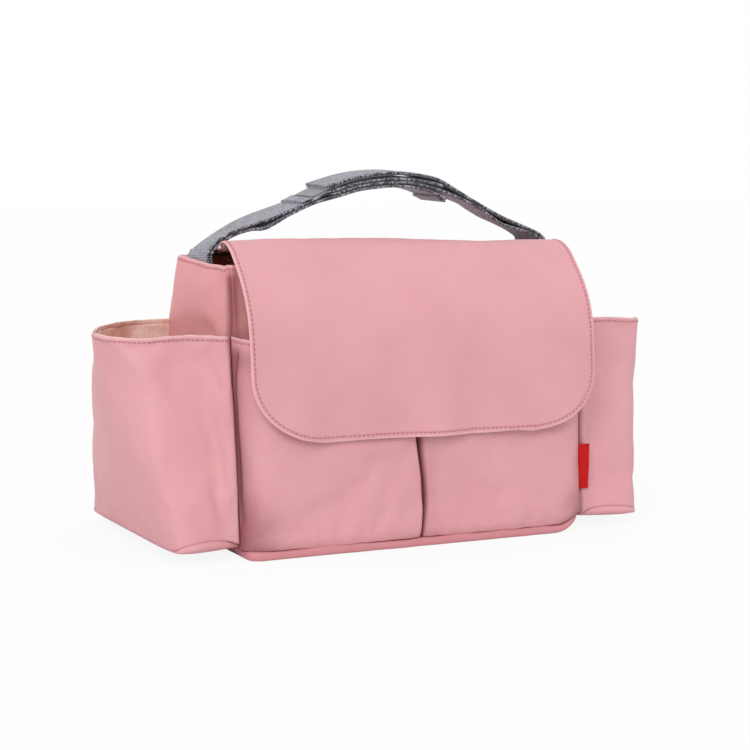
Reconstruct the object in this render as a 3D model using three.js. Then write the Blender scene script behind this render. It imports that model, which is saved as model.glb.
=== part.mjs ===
// Stroller organiser bag: a soft boxy body with a fold-over flap, two bottle pockets on its
// ends, two pleated pockets on its front and a webbing handle that unfastens at the grip.
// Millimetres, +Z up, the front faces -Y. The origin is on the ground, under the middle.
import * as THREE from "three";

// ---------------------------------------------------------------- driving dimensions
const GAP = 0.4; // between neighbouring pieces
const BODY_LENGTH = 260; // along X, over the side panels
const BODY_HEIGHT = 190; // to the rim of the open top
const FRONT_Y = { bottom: -70, top: -44 }; // outer face of the front panel
const BACK_Y = { bottom: 87, top: 48, belly: 1.6 }; // outer face of the back panel
const PANEL = 2.5; // padded fabric panel
const CORNER = 14; // plan radius of the bottom panel
const BOARD = { thickness: 2, inset: 5 };
const LINING = 0.8;
const LINING_RIM_DROP = 4; // how far the main lining stops below the rim

const POCKET_RIM_Z = 144;
const POCKET_WALL = 2;
const POCKET_BASE_Z = 7.5;
const POCKET_BASE_THICKNESS = 2;
const LINING_HEM_DROP = 7; // how far a pocket lining stops below its rim

const FRONT_POCKET = {
  inner: 3.8, // inner skin of the return at the centre pleat
  outer: 126.8, // inner face of the side return
  round: 9, // plan radius where the face turns back
  rimY: -77, // inner skin of the face at the rim
  footY: -81.6, // and near the bottom
  floorZ: 4, // where the panel meets the body again
  footRise: 16, // height over which the bottom rounds off
};
const PATCH = { width: 50, low: 88, high: 108, x: 62, thickness: 0.8 };
const LABEL = { width: 8, low: 28, high: 60, thickness: 1, y: -71 };

const FLAP = { shell: 1, backHalf: 114, frontHalf: 129, cornerRadius: 46 };
const FLAP_FLARE = { from: -6, to: -34 }; // the flap widens between these, in front of the strap

const STRAP = { width: 38, y: 14, thickness: 1.6 };
const TAIL = { low: 168, high: 189.5, outer: 127.2, inner: 123.6 };
const TAPE = { thickness: 0.75, from: -34, to: 44 };

// ---------------------------------------------------------------- materials
const fabric = (color, roughness) =>
  new THREE.MeshStandardMaterial({ color, roughness, metalness: 0 });
const TWILL = fabric(0xe2a3aa, 0.6);
const SATIN = fabric(0xe6c3b4, 0.45);
const WEBBING = fabric(0x85878f, 0.7);
const TAPE_NYLON = fabric(0xb98289, 0.9);
const LABEL_RED = fabric(0xd5261f, 0.5);
const BOARD_PLASTIC = fabric(0xd9d9d4, 0.6);

// ---------------------------------------------------------------- geometry helpers
const { lerp, smoothstep } = THREE.MathUtils;

// Outer faces of the front and back panels at a height.
const frontY = (z) => lerp(FRONT_Y.bottom, FRONT_Y.top, z / BODY_HEIGHT);
const backY = (z) =>
  lerp(BACK_Y.bottom, BACK_Y.top, Math.pow(Math.max(z, 0) / BODY_HEIGHT, BACK_Y.belly));

// A closed solid from skins that share a grid: surface(u, v) is one skin, and the other lies
// thickness away along du x dv.
function sheetSolid(surface, columns, rows, thickness) {
  const near = [];
  const far = [];
  const step = 1e-3;
  for (let j = 0; j <= rows; j++) {
    for (let i = 0; i <= columns; i++) {
      const u = i / columns;
      const v = j / rows;
      const p = surface(u, v);
      const du = surface(Math.min(u + step, 1), v).sub(surface(Math.max(u - step, 0), v));
      const dv = surface(u, Math.min(v + step, 1)).sub(surface(u, Math.max(v - step, 0)));
      near.push(p);
      far.push(p.clone().addScaledVector(du.cross(dv).normalize(), thickness));
    }
  }
  const at = (i, j) => j * (columns + 1) + i;
  const count = near.length;
  const index = [];
  const quad = (a, b, c, d) => index.push(a, b, c, a, c, d);
  for (let j = 0; j < rows; j++) {
    for (let i = 0; i < columns; i++) {
      const [a, b, c, d] = [at(i, j), at(i + 1, j), at(i + 1, j + 1), at(i, j + 1)];
      quad(a + count, b + count, c + count, d + count);
      quad(a, d, c, b);
    }
  }
  const rim = [];
  for (let i = 0; i < columns; i++) rim.push(at(i, 0));
  for (let j = 0; j < rows; j++) rim.push(at(columns, j));
  for (let i = columns; i > 0; i--) rim.push(at(i, rows));
  for (let j = rows; j > 0; j--) rim.push(at(0, j));
  rim.forEach((p, k) => {
    const q = rim[(k + 1) % rim.length];
    quad(p, q, q + count, p + count);
  });
  return fromPoints([...near, ...far], index);
}

// A closed solid from rings with equal numbers of points, with a fan over each end.
function ringSolid(rings) {
  const size = rings[0].length;
  const points = rings.flat();
  const index = [];
  for (let r = 0; r + 1 < rings.length; r++) {
    for (let i = 0; i < size; i++) {
      const next = (i + 1) % size;
      const [a, b] = [r * size + i, r * size + next];
      index.push(a, b, b + size, a, b + size, a + size);
    }
  }
  const last = (rings.length - 1) * size;
  for (let i = 1; i + 1 < size; i++) {
    index.push(0, i + 1, i, last, last + i, last + i + 1);
  }
  return fromPoints(points, index);
}

function fromPoints(points, index) {
  const geometry = new THREE.BufferGeometry().setFromPoints(points);
  geometry.setIndex(index);
  geometry.computeVertexNormals();
  return geometry;
}

// A plate of the given outline in X and Y, from z up.
function plate(shape, z, thickness) {
  const options = { depth: thickness, bevelEnabled: false, curveSegments: 6 };
  return new THREE.ExtrudeGeometry(shape, options).translate(0, 0, z);
}

function roundedRectangle(x0, x1, y0, y1, radius) {
  const shape = new THREE.Shape();
  shape.moveTo(x0 + radius, y0);
  shape.lineTo(x1 - radius, y0);
  shape.absarc(x1 - radius, y0 + radius, radius, -Math.PI / 2, 0);
  shape.absarc(x1 - radius, y1 - radius, radius, 0, Math.PI / 2);
  shape.absarc(x0 + radius, y1 - radius, radius, Math.PI / 2, Math.PI);
  shape.absarc(x0 + radius, y0 + radius, radius, Math.PI, 1.5 * Math.PI);
  return shape;
}

const spline = (pairs) => new THREE.SplineCurve(pairs.map(([a, b]) => new THREE.Vector2(a, b)));

const bag = new THREE.Group();

function add(name, geometry, material) {
  const mesh = new THREE.Mesh(geometry, material);
  mesh.name = name;
  bag.add(mesh);
  return mesh;
}

// Adds a right-hand piece and its mirror image.
function addPair(nameOf, geometry, material) {
  add(nameOf("right"), geometry, material);
  add(nameOf("left"), geometry, material).scale.x = -1;
}

// ---------------------------------------------------------------- body panels
const WALL_FOOT = PANEL + GAP;
const PANEL_HALF = BODY_LENGTH / 2 - PANEL - GAP;
const wallZ = (v) => lerp(WALL_FOOT, BODY_HEIGHT, v);

function bottomPanel() {
  const half = BODY_LENGTH / 2;
  return plate(roundedRectangle(-half, half, FRONT_Y.bottom, BACK_Y.bottom, CORNER), 0, PANEL);
}

function baseBoard() {
  const half = PANEL_HALF - BOARD.inset;
  const low = FRONT_Y.bottom + PANEL + BOARD.inset;
  const high = BACK_Y.bottom - PANEL - BOARD.inset;
  return plate(roundedRectangle(-half, half, low, high, CORNER), WALL_FOOT, BOARD.thickness);
}

function frontPanel() {
  const surface = (u, v) => {
    const z = wallZ(v);
    return new THREE.Vector3(lerp(-PANEL_HALF, PANEL_HALF, u), frontY(z) + PANEL, z);
  };
  return sheetSolid(surface, 1, 1, PANEL);
}

function backPanel() {
  const surface = (u, v) => {
    const z = wallZ(v);
    return new THREE.Vector3(lerp(PANEL_HALF, -PANEL_HALF, u), backY(z) - PANEL, z);
  };
  return sheetSolid(surface, 1, 8, PANEL);
}

function sidePanel() {
  const x = BODY_LENGTH / 2 - PANEL;
  const surface = (u, v) => {
    const z = wallZ(v);
    return new THREE.Vector3(x, lerp(frontY(z) + PANEL / 2, backY(z) - PANEL / 2, u), z);
  };
  return sheetSolid(surface, 1, 8, PANEL);
}

function mainLining() {
  const outerHalf = TAIL.inner - GAP;
  const floor = WALL_FOOT + BOARD.thickness + GAP;
  const top = BODY_HEIGHT - LINING_RIM_DROP;
  const levels = 8;
  const ring = (z, inset) => {
    const half = outerHalf - inset;
    const near = frontY(z) + PANEL + 2 * GAP + inset;
    const far = backY(z) - PANEL - 2 * GAP - inset;
    return [
      [-half, near],
      [half, near],
      [half, far],
      [-half, far],
    ].map(([x, y]) => new THREE.Vector3(x, y, z));
  };
  const rings = [];
  for (let k = 0; k <= levels; k++) rings.push(ring(lerp(floor, top, k / levels), 0));
  for (let k = levels; k >= 0; k--) rings.push(ring(lerp(floor + LINING, top, k / levels), LINING));
  return ringSolid(rings);
}

// ---------------------------------------------------------------- bottle pockets on the ends
// Plan of the pocket's inner skin, from the front seam round to the back seam.
const SEAM_X = BODY_LENGTH / 2 + GAP;
const RIM_PLAN = spline([
  [SEAM_X, -50],
  [150, -43],
  [172, -38],
  [194, -33],
  [207, -20],
  [206, 2],
  [188, 37],
  [160, 58],
  [SEAM_X, 66],
]);
const BASE_PLAN = spline([
  [SEAM_X, -68],
  [150, -73.5],
  [168, -75.5],
  [176.5, -65],
  [177.5, 5],
  [177, 75],
  [167, 84.8],
  [150, 85],
  [SEAM_X, 83],
]);
// Shares of the rim's length, and the shares of the base's length that lie below them: soft edges
// run from the base's two outer corners up to the two ends of the rim's outer bend.
const PLAN_MATCH = [
  [0, 0],
  [0.36, 0.19],
  [0.55, 0.8],
  [1, 1],
];
const POCKET_FOOT = POCKET_BASE_Z + POCKET_BASE_THICKNESS + GAP;

function baseShare(s) {
  const k = Math.max(1, PLAN_MATCH.findIndex(([rim]) => rim >= s));
  const [[rim0, base0], [rim1, base1]] = [PLAN_MATCH[k - 1], PLAN_MATCH[k]];
  return lerp(base0, base1, (s - rim0) / (rim1 - rim0));
}

// A skin of the pocket, inset from its plan, between two heights.
function pocketSkin(inset, low, high) {
  return (u, v) => {
    const z = lerp(low, high, v);
    const rise = (z - POCKET_FOOT) / (POCKET_RIM_Z - POCKET_FOOT);
    const planAt = (s) => BASE_PLAN.getPointAt(baseShare(s)).lerp(RIM_PLAN.getPointAt(s), rise);
    const p = planAt(u);
    const ahead = planAt(Math.min(u + 0.01, 1)).sub(planAt(Math.max(u - 0.01, 0))).normalize();
    const x = Math.max(p.x - ahead.y * inset, SEAM_X);
    return new THREE.Vector3(x, p.y + ahead.x * inset, z);
  };
}

const pocketWall = () =>
  sheetSolid(pocketSkin(0, POCKET_FOOT, POCKET_RIM_Z), 30, 5, POCKET_WALL);

function pocketLining() {
  const skin = pocketSkin(3 * GAP + LINING, POCKET_FOOT, POCKET_RIM_Z - LINING_HEM_DROP);
  return sheetSolid(skin, 30, 5, LINING);
}

function pocketBase() {
  const shape = new THREE.Shape(BASE_PLAN.getSpacedPoints(30));
  return plate(shape, POCKET_BASE_Z, POCKET_BASE_THICKNESS);
}

// ---------------------------------------------------------------- pleated pockets on the front
// Depth of the pocket in front of the body, which rounds off to nothing at its bottom.
function frontPocketDepth(z) {
  const { rimY, footY, floorZ, footRise } = FRONT_POCKET;
  const face = lerp(footY, rimY, z / POCKET_RIM_Z);
  const below = Math.max(0, 1 - (z - floorZ) / footRise);
  return (frontY(z) - GAP - face) * Math.sqrt(Math.max(0, 1 - below * below));
}

// Plan of the panel as X and a share of the depth: back at the pleat, round the face to the side.
function frontPocketPlan(inset) {
  const { inner, outer, round } = FRONT_POCKET;
  const path = new THREE.CurvePath();
  const point = (x, share) => new THREE.Vector2(x, share);
  const [a, b] = [inner + inset, outer - inset];
  const turn = 0.55;
  path.add(new THREE.LineCurve(point(a, 0.06), point(a, turn)));
  path.add(new THREE.QuadraticBezierCurve(point(a, turn), point(a, 1), point(a + round, 1)));
  path.add(new THREE.LineCurve(point(a + round, 1), point(b - round, 1)));
  path.add(new THREE.QuadraticBezierCurve(point(b - round, 1), point(b, 1), point(b, turn)));
  path.add(new THREE.LineCurve(point(b, turn), point(b, 0.06)));
  return path;
}

// Columns are shared out so that the turns get theirs: each piece of the plan has its own few.
const PLAN_STOPS = [1, 5, 3, 5, 1];

function frontPocketSkin(inset, low, high, thickness, rows) {
  const pieces = frontPocketPlan(inset).curves;
  const columns = PLAN_STOPS.reduce((sum, n) => sum + n, 0);
  const planAt = (u) => {
    let k = u * columns;
    let piece = 0;
    while (k > PLAN_STOPS[piece] && piece < pieces.length - 1) {
      k -= PLAN_STOPS[piece];
      piece++;
    }
    return pieces[piece].getPoint(k / PLAN_STOPS[piece]);
  };
  const surface = (u, v) => {
    const z = lerp(high, low, Math.sin((v * Math.PI) / 2)); // rows crowd towards the bottom
    const { x, y: share } = planAt(u);
    const depth = Math.max(frontPocketDepth(z) - inset, 0.3);
    return new THREE.Vector3(x, frontY(z) - GAP - depth * share, z);
  };
  const flipped = (u, v) => surface(u, 1 - v);
  return sheetSolid(flipped, columns, rows, thickness);
}

const frontPocket = () =>
  frontPocketSkin(0, FRONT_POCKET.floorZ + 1, POCKET_RIM_Z, POCKET_WALL, 10);

const frontPocketLining = () =>
  frontPocketSkin(
    GAP + LINING,
    FRONT_POCKET.floorZ + FRONT_POCKET.footRise,
    POCKET_RIM_Z - LINING_HEM_DROP,
    LINING,
    2,
  );

// The fold of cloth behind the two lips of the box pleat.
function pleatInsert() {
  const half = 1.2;
  const reach = 0.55;
  const low = FRONT_POCKET.floorZ + FRONT_POCKET.footRise;
  const surface = (u, v) => {
    const z = lerp(low, POCKET_RIM_Z - LINING_HEM_DROP, v);
    const y = frontY(z) - GAP - frontPocketDepth(z) * lerp(reach, 0.04, u);
    return new THREE.Vector3(-half + 0.2, y, z);
  };
  return sheetSolid(surface, 1, 4, 2 * (half - 0.2));
}

// Outer skin of the pocket's face.
const pocketFaceY = (z) => frontY(z) - GAP - frontPocketDepth(z) - POCKET_WALL;

// A patch parallel to the pocket's face, stand off in front of it.
function patch(standOff) {
  const surface = (u, v) => {
    const z = lerp(PATCH.low, PATCH.high, v);
    const x = PATCH.x + (u - 0.5) * PATCH.width;
    return new THREE.Vector3(x, pocketFaceY(z) - standOff, z);
  };
  return sheetSolid(surface, 1, 1, PATCH.thickness);
}

function sideLabel() {
  const x = BODY_LENGTH / 2 + GAP;
  const size = [LABEL.width, LABEL.thickness, LABEL.high - LABEL.low];
  const middle = [x + LABEL.width / 2, LABEL.y, (LABEL.low + LABEL.high) / 2];
  return new THREE.BoxGeometry(...size).translate(...middle);
}

// ---------------------------------------------------------------- flap
// Side profiles (Y, Z) of the flap's inner skin, from the back seam to the crown and from the
// crown down over the front pockets.
const FLAP_TOP_PROFILE = spline([
  [47.5, 191.3],
  [33, 192.2],
  [14, 195.2],
  [-6, 199.2],
  [-24, 202.4],
  [-35.9, 203.6],
]);
const FLAP_FRONT_PROFILE = spline([
  [-36.9, 203.6],
  [-45.5, 200.2],
  [-55.5, 191.2],
  [-66.5, 179],
  [-75.5, 164],
  [-81, 146],
  [-84, 122],
  [-85.1, 98],
  [-85.1, 76],
]);

function flapHalfWidth(y, fromEnd) {
  const flare = smoothstep(-y, -FLAP_FLARE.from, -FLAP_FLARE.to);
  const half = lerp(FLAP.backHalf, FLAP.frontHalf, flare);
  const r = FLAP.cornerRadius;
  if (fromEnd >= r) return half;
  return half - r + Math.sqrt(r * r - (r - fromEnd) ** 2);
}

// One layer of the flap, lift away from the inner skin.
function flapLayer(profile, rounded, lift, thickness, rows) {
  const length = profile.getLength();
  const surface = (u, v) => {
    const s = rounded ? Math.sin((v * Math.PI) / 2) : v;
    const p = profile.getPointAt(s);
    const t = profile.getTangentAt(s);
    const half = flapHalfWidth(p.x, rounded ? (1 - s) * length : Infinity);
    return new THREE.Vector3(lerp(half, -half, u), p.x + t.y * lift, p.y - t.x * lift);
  };
  return sheetSolid(surface, 6, rows, thickness);
}

const FLAP_SHELL_LIFT = LINING + GAP;
const flapTopLining = () => flapLayer(FLAP_TOP_PROFILE, false, 0, LINING, 8);
const flapTopShell = () => flapLayer(FLAP_TOP_PROFILE, false, FLAP_SHELL_LIFT, FLAP.shell, 8);
const flapFrontLining = () => flapLayer(FLAP_FRONT_PROFILE, true, 0, LINING, 16);
const flapFrontShell = () => flapLayer(FLAP_FRONT_PROFILE, true, FLAP_SHELL_LIFT, FLAP.shell, 16);

// ---------------------------------------------------------------- webbing handle
// Centre lines (X, Z) of the four bands. Each half of the handle is a doubled band; at the grip
// the four lie on each other: right upper, left upper, right lower, left lower.
const BANDS = {
  right_upper_strap: [
    [-40, 239.2],
    [-12, 246.4],
    [16, 248.6],
    [44, 245.6],
    [74, 233],
    [97, 221.5],
    [116, 210],
    [125, 198.5],
    [126.4, 190],
  ],
  left_upper_strap: [
    [-126.4, 190],
    [-124.5, 197.5],
    [-115, 206.5],
    [-97, 215],
    [-72, 225.2],
    [-40, 235],
    [-12, 242.2],
    [16, 244.4],
    [50, 240],
  ],
  right_lower_strap: [
    [-30, 235.4],
    [-12, 239.8],
    [16, 242],
    [38, 239],
    [60, 229.5],
    [80, 220.5],
    [97, 213],
    [112, 206.5],
    [121, 198.5],
    [124.4, 190],
  ],
  left_lower_strap: [
    [-124.4, 190],
    [-120.5, 198.5],
    [-110, 205],
    [-92, 210.5],
    [-77, 215.5],
    [-62, 223],
    [-46, 228.6],
    [-30, 232.8],
    [-12, 237.2],
    [16, 239.4],
    [38, 236.3],
    [54, 229.4],
  ],
};
const BAND_STEPS = 24;

// A band along a centre line, off to one side of it by lift.
function band(points, lift, thickness, from = 0, to = 1) {
  const curve = spline(points);
  const surface = (u, v) => {
    const s = lerp(from, to, v);
    const p = curve.getPointAt(s);
    const t = curve.getTangentAt(s);
    const off = lift - thickness / 2;
    const y = STRAP.y + (u - 0.5) * STRAP.width;
    return new THREE.Vector3(p.x - t.y * off, y, p.y + t.x * off);
  };
  return sheetSolid((u, v) => surface(1 - u, v), 1, BAND_STEPS, thickness);
}

// The share of a band's length at which it passes a given X.
function shareAt(points, x) {
  const samples = spline(points).getSpacedPoints(200);
  return samples.findIndex((p) => p.x >= x) / 200;
}

function gripTape(points, side) {
  const lift = side * (STRAP.thickness / 2 + GAP / 2 + TAPE.thickness / 2);
  const [from, to] = [shareAt(points, TAPE.from), shareAt(points, TAPE.to)];
  return band(points, lift, TAPE.thickness, from, to);
}

function strapTail() {
  const size = [TAIL.outer - TAIL.inner, STRAP.width, TAIL.high - TAIL.low];
  const middle = [(TAIL.outer + TAIL.inner) / 2, STRAP.y, (TAIL.high + TAIL.low) / 2];
  return new THREE.BoxGeometry(...size).translate(...middle);
}

// ---------------------------------------------------------------- assembly
add("bottom_panel", bottomPanel(), TWILL);
add("base_board", baseBoard(), BOARD_PLASTIC);
add("front_panel", frontPanel(), TWILL);
add("back_panel", backPanel(), TWILL);
addPair((side) => `${side}_side_panel`, sidePanel(), TWILL);
add("main_lining", mainLining(), SATIN);

addPair((side) => `${side}_pocket_wall`, pocketWall(), TWILL);
addPair((side) => `${side}_pocket_base`, pocketBase(), TWILL);
addPair((side) => `${side}_pocket_lining`, pocketLining(), SATIN);

addPair((side) => `front_pocket_${side}`, frontPocket(), TWILL);
addPair((side) => `front_pocket_lining_${side}`, frontPocketLining(), SATIN);
add("front_pocket_pleat", pleatInsert(), TWILL);
addPair((side) => `loop_patch_${side}`, patch(GAP), TAPE_NYLON);
add("side_label", sideLabel(), LABEL_RED);

add("flap_top_shell", flapTopShell(), TWILL);
add("flap_top_lining", flapTopLining(), SATIN);
add("flap_front_shell", flapFrontShell(), TWILL);
add("flap_front_lining", flapFrontLining(), SATIN);
addPair((side) => `hook_patch_${side}`, patch(2 * GAP + PATCH.thickness), TAPE_NYLON);

addPair((side) => `${side}_strap_tail`, strapTail(), WEBBING);
for (const [name, points] of Object.entries(BANDS)) {
  add(name, band(points, 0, STRAP.thickness), WEBBING);
}
add("grip_hook_tape", gripTape(BANDS.right_upper_strap, -1), TAPE_NYLON);
add("grip_loop_tape", gripTape(BANDS.left_upper_strap, 1), TAPE_NYLON);

export default bag;
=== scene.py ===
"""A stroller organiser bag in pink nylon twill, with a fold-over flap, a bottle pocket on each
end, two pleated pockets on the front and a webbing handle. Millimetres until a mesh is made."""
import math

import bpy
import numpy as np
from mathutils import Matrix, Vector, noise


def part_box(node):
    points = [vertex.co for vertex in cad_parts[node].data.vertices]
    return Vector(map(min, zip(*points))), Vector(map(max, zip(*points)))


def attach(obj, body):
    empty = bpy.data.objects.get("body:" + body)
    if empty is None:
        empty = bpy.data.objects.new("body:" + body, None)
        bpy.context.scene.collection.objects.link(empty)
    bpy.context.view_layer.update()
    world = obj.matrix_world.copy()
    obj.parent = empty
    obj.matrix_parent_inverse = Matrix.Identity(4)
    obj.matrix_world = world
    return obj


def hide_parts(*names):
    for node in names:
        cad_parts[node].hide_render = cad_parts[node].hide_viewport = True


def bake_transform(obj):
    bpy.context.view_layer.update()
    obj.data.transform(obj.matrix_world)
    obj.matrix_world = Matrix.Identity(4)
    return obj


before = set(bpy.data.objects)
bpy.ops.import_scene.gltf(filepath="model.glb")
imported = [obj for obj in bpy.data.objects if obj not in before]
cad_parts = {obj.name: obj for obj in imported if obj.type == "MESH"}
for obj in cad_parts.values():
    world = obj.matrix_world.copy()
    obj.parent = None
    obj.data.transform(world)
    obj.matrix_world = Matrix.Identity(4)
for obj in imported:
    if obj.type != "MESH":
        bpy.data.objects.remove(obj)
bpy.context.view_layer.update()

MM = 0.001
SCENE = bpy.context.scene


def corners_mm(node):
    low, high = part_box(node)
    return np.array(low) / MM, np.array(high) / MM


# ---------- driving dimensions, in mm
HALF = corners_mm("right_side_panel")[1][0]  # half the body's length
RIM_Z = corners_mm("back_panel")[1][2]
FRONT_FOOT_Y = corners_mm("bottom_panel")[0][1]
BACK_FOOT_Y = corners_mm("bottom_panel")[1][1]
FRONT_RIM_Y = -44
BACK_RIM_Y = 48
BACK_BULGE = 2.5  # how far the back panel bellies out
BACK_BELLY = 2.2  # exponent of the back panel's curve, fuller than the plain solid's
PANEL = 2.4
CLOTH = 1.2
LINING = 0.7
HEM = 3.0  # from an edge to its stitch line
NO_HEM = 99.0

POCKET_RIM_Z = corners_mm("right_pocket_wall")[1][2]
POCKET_FOOT_Z = corners_mm("right_pocket_base")[0][2]
FRONT_SEAM_Z = 5.8  # where the front pockets are sewn to the bottom panel
FRONT_SEAM_Y = -82.2
POCKET_FACE_Y = {"rim": -79.0, "foot": -83.8}

STRAP_WIDTH = 38
STRAP_Y = 14
STRAP_THICKNESS = 2.1

STITCH_PITCH = 3.2
STITCH_LENGTH = 2.3
STITCH_RADII = 0.31 * np.array([0.35, 0.95, 1.0, 0.95, 0.35])
STITCH_SIDES = 6


# ---------- curves and noise
def lerp(a, b, t):
    return a + (b - a) * t


def ease(t):
    t = np.clip(t, 0, 1)
    return t * t * (3 - 2 * t)


def hump(t, centre, width):
    return np.exp(-(((t - centre) / width) ** 2))


def unit(vectors):
    return vectors / np.linalg.norm(vectors, axis=-1, keepdims=True)


def xyz(x, y, z):
    """Points from their coordinates, some of which may be shared by all of them."""
    return np.stack(np.broadcast_arrays(x, y, z), -1)


def level(plan, z):
    """The points of a plan, X and Y, at a height."""
    return xyz(plan[:, 0], plan[:, 1], z)


def index_of(value, rising):
    """The fractional index at which a rising series reaches a value."""
    return np.interp(value, rising, np.arange(len(rising)))


def resample(values, run, lengths):
    """Rows of values that are known at the lengths of a run, at other lengths."""
    return np.stack([np.interp(lengths, run, column) for column in values.T], -1)


def spline(points, shares):
    """Points at shares, 0 to 1, of the length of the smooth curve through the given ones."""
    p = np.array(points, float)
    ends = np.vstack([2 * p[0] - p[1], p, 2 * p[-1] - p[-2]])
    t = np.linspace(0, len(p) - 1, 32 * (len(p) - 1) + 1)
    k = np.minimum(t.astype(int), len(p) - 2)
    f = (t - k)[:, None]
    a, b, c, d = ends[k], ends[k + 1], ends[k + 2], ends[k + 3]
    fine = b + (c - a) * f / 2 + (2 * a - 5 * b + 4 * c - d) * f**2 / 2
    fine += (3 * b - a - 3 * c + d) * f**3 / 2
    run = run_lengths(fine, 0)
    return resample(fine, run, np.asarray(shares) * run[-1])


def wander(points, size, seed=0):
    """Smooth noise from -1 to 1 with features of about that size, at each point of an array."""
    flat = np.asarray(points, float).reshape(-1, 3) / size + 7.3 * seed
    return np.array([noise.noise(Vector(q)) for q in flat]).reshape(np.shape(points)[:-1])


# ---------- meshes from grids
# A grid's columns run left to right and its rows upwards as seen from outside the cloth.
def grid_normals(grid):
    normals = np.cross(np.gradient(grid, axis=1), np.gradient(grid, axis=0))
    return normals / np.maximum(np.linalg.norm(normals, axis=-1, keepdims=True), 1e-9)


def lift(grid, amount):
    return grid + grid_normals(grid) * np.asarray(amount)[..., None]


def run_lengths(grid, axis):
    """Length of cloth up to each point, along an axis of a grid or along a line."""
    steps = np.linalg.norm(np.diff(grid, axis=axis), axis=-1)
    zero = np.zeros_like(np.take(steps, [0], axis=axis))
    return np.concatenate([zero, np.cumsum(steps, axis=axis)], axis=axis)


def grid_mesh(name, grid, hem=NO_HEM, tucked=0, closed=False):
    """A mesh of one grid, with UVs in metres of cloth and two values on each point: how far it is
    from a hem, and how much painted shade darkens its colour, for the shade of folds, seams and
    crevices. A closed grid's last column is its first one again."""
    rows, columns = grid.shape[:2]
    cells = np.arange(rows * columns).reshape(rows, columns)
    quads = np.stack([cells[:-1, :-1], cells[:-1, 1:], cells[1:, 1:], cells[1:, :-1]], -1)
    quads = quads.reshape(-1, 4)
    around = columns - 1 if closed else columns
    corners = quads // columns * around + quads % columns % around
    mesh = bpy.data.meshes.new(name)
    mesh.from_pydata((grid[:, :around].reshape(-1, 3) * MM).tolist(), [], corners.tolist())
    across = run_lengths(grid, 1)
    across -= across[:, columns // 2 : columns // 2 + 1]
    uv = np.stack([across, run_lengths(grid, 0)], -1).reshape(-1, 2) * MM
    layer = mesh.uv_layers.new(name="UVMap")
    layer.data.foreach_set("uv", uv[quads.reshape(-1)].ravel())
    # the second value is painted shade, which darkens the twill's colour
    for key, values in (("hem", hem), ("tucked", tucked)):
        spread = (values + np.zeros((rows, columns)))[:, :around]
        attribute = mesh.attributes.new(key, "FLOAT", "POINT")
        attribute.data.foreach_set("value", spread.ravel().astype(np.float32))
    mesh.polygons.foreach_set("use_smooth", np.ones(len(mesh.polygons), bool))
    obj = bpy.data.objects.new(name, mesh)
    SCENE.collection.objects.link(obj)
    return obj


def points_of(mesh):
    flat = np.empty(len(mesh.vertices) * 3)
    mesh.vertices.foreach_get("co", flat)
    return flat.reshape(-1, 3) / MM


def settle(obj):
    """Applies the modifiers."""
    graph = bpy.context.evaluated_depsgraph_get()
    mesh = bpy.data.meshes.new_from_object(
        obj.evaluated_get(graph), preserve_all_data_layers=True, depsgraph=graph
    )
    obj.modifiers.clear()
    obj.data = mesh


SOFTEN_FRAMES = 14
MOST_SLIDE = 1  # how far the simulation may move a point along the cloth


def soften(grid, held, growth, outward, inward):
    """The grid after cloth simulation has let slack cloth buckle between its held points.

    held is each point's pin weight. The cloth grows by growth, and no point ends up further
    out or in than the two limits."""
    obj = grid_mesh("slack", grid + 0.25 * grid_normals(grid) * wander(grid, 17, 3)[..., None])
    group = obj.vertex_groups.new(name="held")
    for k, weight in enumerate(np.ravel(held)):
        group.add([k], float(weight), "REPLACE")
    cloth = obj.modifiers.new("cloth", "CLOTH")
    cloth.point_cache.frame_start = 1
    cloth.point_cache.frame_end = SOFTEN_FRAMES
    settings = cloth.settings
    settings.quality = 6
    settings.mass = 0.25
    settings.tension_stiffness = 25
    settings.compression_stiffness = 25
    settings.shear_stiffness = 10
    settings.bending_stiffness = 1.5
    settings.air_damping = 2
    settings.vertex_group_mass = "held"
    settings.shrink_min = -growth
    settings.shrink_max = -growth
    settings.effector_weights.gravity = 0
    for number in range(1, SOFTEN_FRAMES + 1):
        SCENE.frame_set(number)
    graph = bpy.context.evaluated_depsgraph_get()
    moved = points_of(obj.evaluated_get(graph).data).reshape(grid.shape)
    SCENE.frame_set(1)
    bpy.data.objects.remove(obj)
    normals = grid_normals(grid)
    shift = moved - grid
    along = (shift * normals).sum(-1)
    limit = np.where(along > 0, outward, inward)
    limited = limit * np.tanh(along / limit)
    slide = shift - along[..., None] * normals
    return grid + limited[..., None] * normals + np.clip(slide, -MOST_SLIDE, MOST_SLIDE)


def thicken(obj, thickness):
    """Gives cloth its thickness inwards, with rounded edges."""
    solid = obj.modifiers.new("thickness", "SOLIDIFY")
    solid.thickness = thickness * MM
    solid.offset = -1
    solid.use_even_offset = False
    obj.modifiers.new("smooth", "SUBSURF").levels = 1
    settle(obj)
    return obj


def declare_sheet(grid, flat=None):
    """Works out the flat size and area of cloth from its grid, which nothing then uses."""
    cells = np.cross(grid[1:, 1:] - grid[:-1, :-1], grid[1:, :-1] - grid[:-1, 1:])
    area = np.linalg.norm(cells, axis=-1).sum() / 2
    width, length = flat or (run_lengths(grid, 1)[:, -1].max(), run_lengths(grid, 0)[-1].max())
    flat = (float(width * MM), float(length * MM))
    area = float(min(area, width * length) * MM**2)


def paint(obj, material):
    obj.data.materials.clear()
    obj.data.materials.append(material)


def dress(obj, material, body=None, stands_for=()):
    """Material, body and the CAD nodes that the piece stands for."""
    paint(obj, material)
    if body:
        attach(obj, body)
    if stands_for:
        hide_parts(*stands_for)
    return obj


def cloth_piece(name, grid, thickness, material, nodes=(), slot="twill", body="bag", **values):
    """A piece of cloth made of one grid, which stands for some CAD nodes."""
    obj = thicken(grid_mesh(name, grid, **values), thickness)
    return dress(obj, material, body, nodes)


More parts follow.
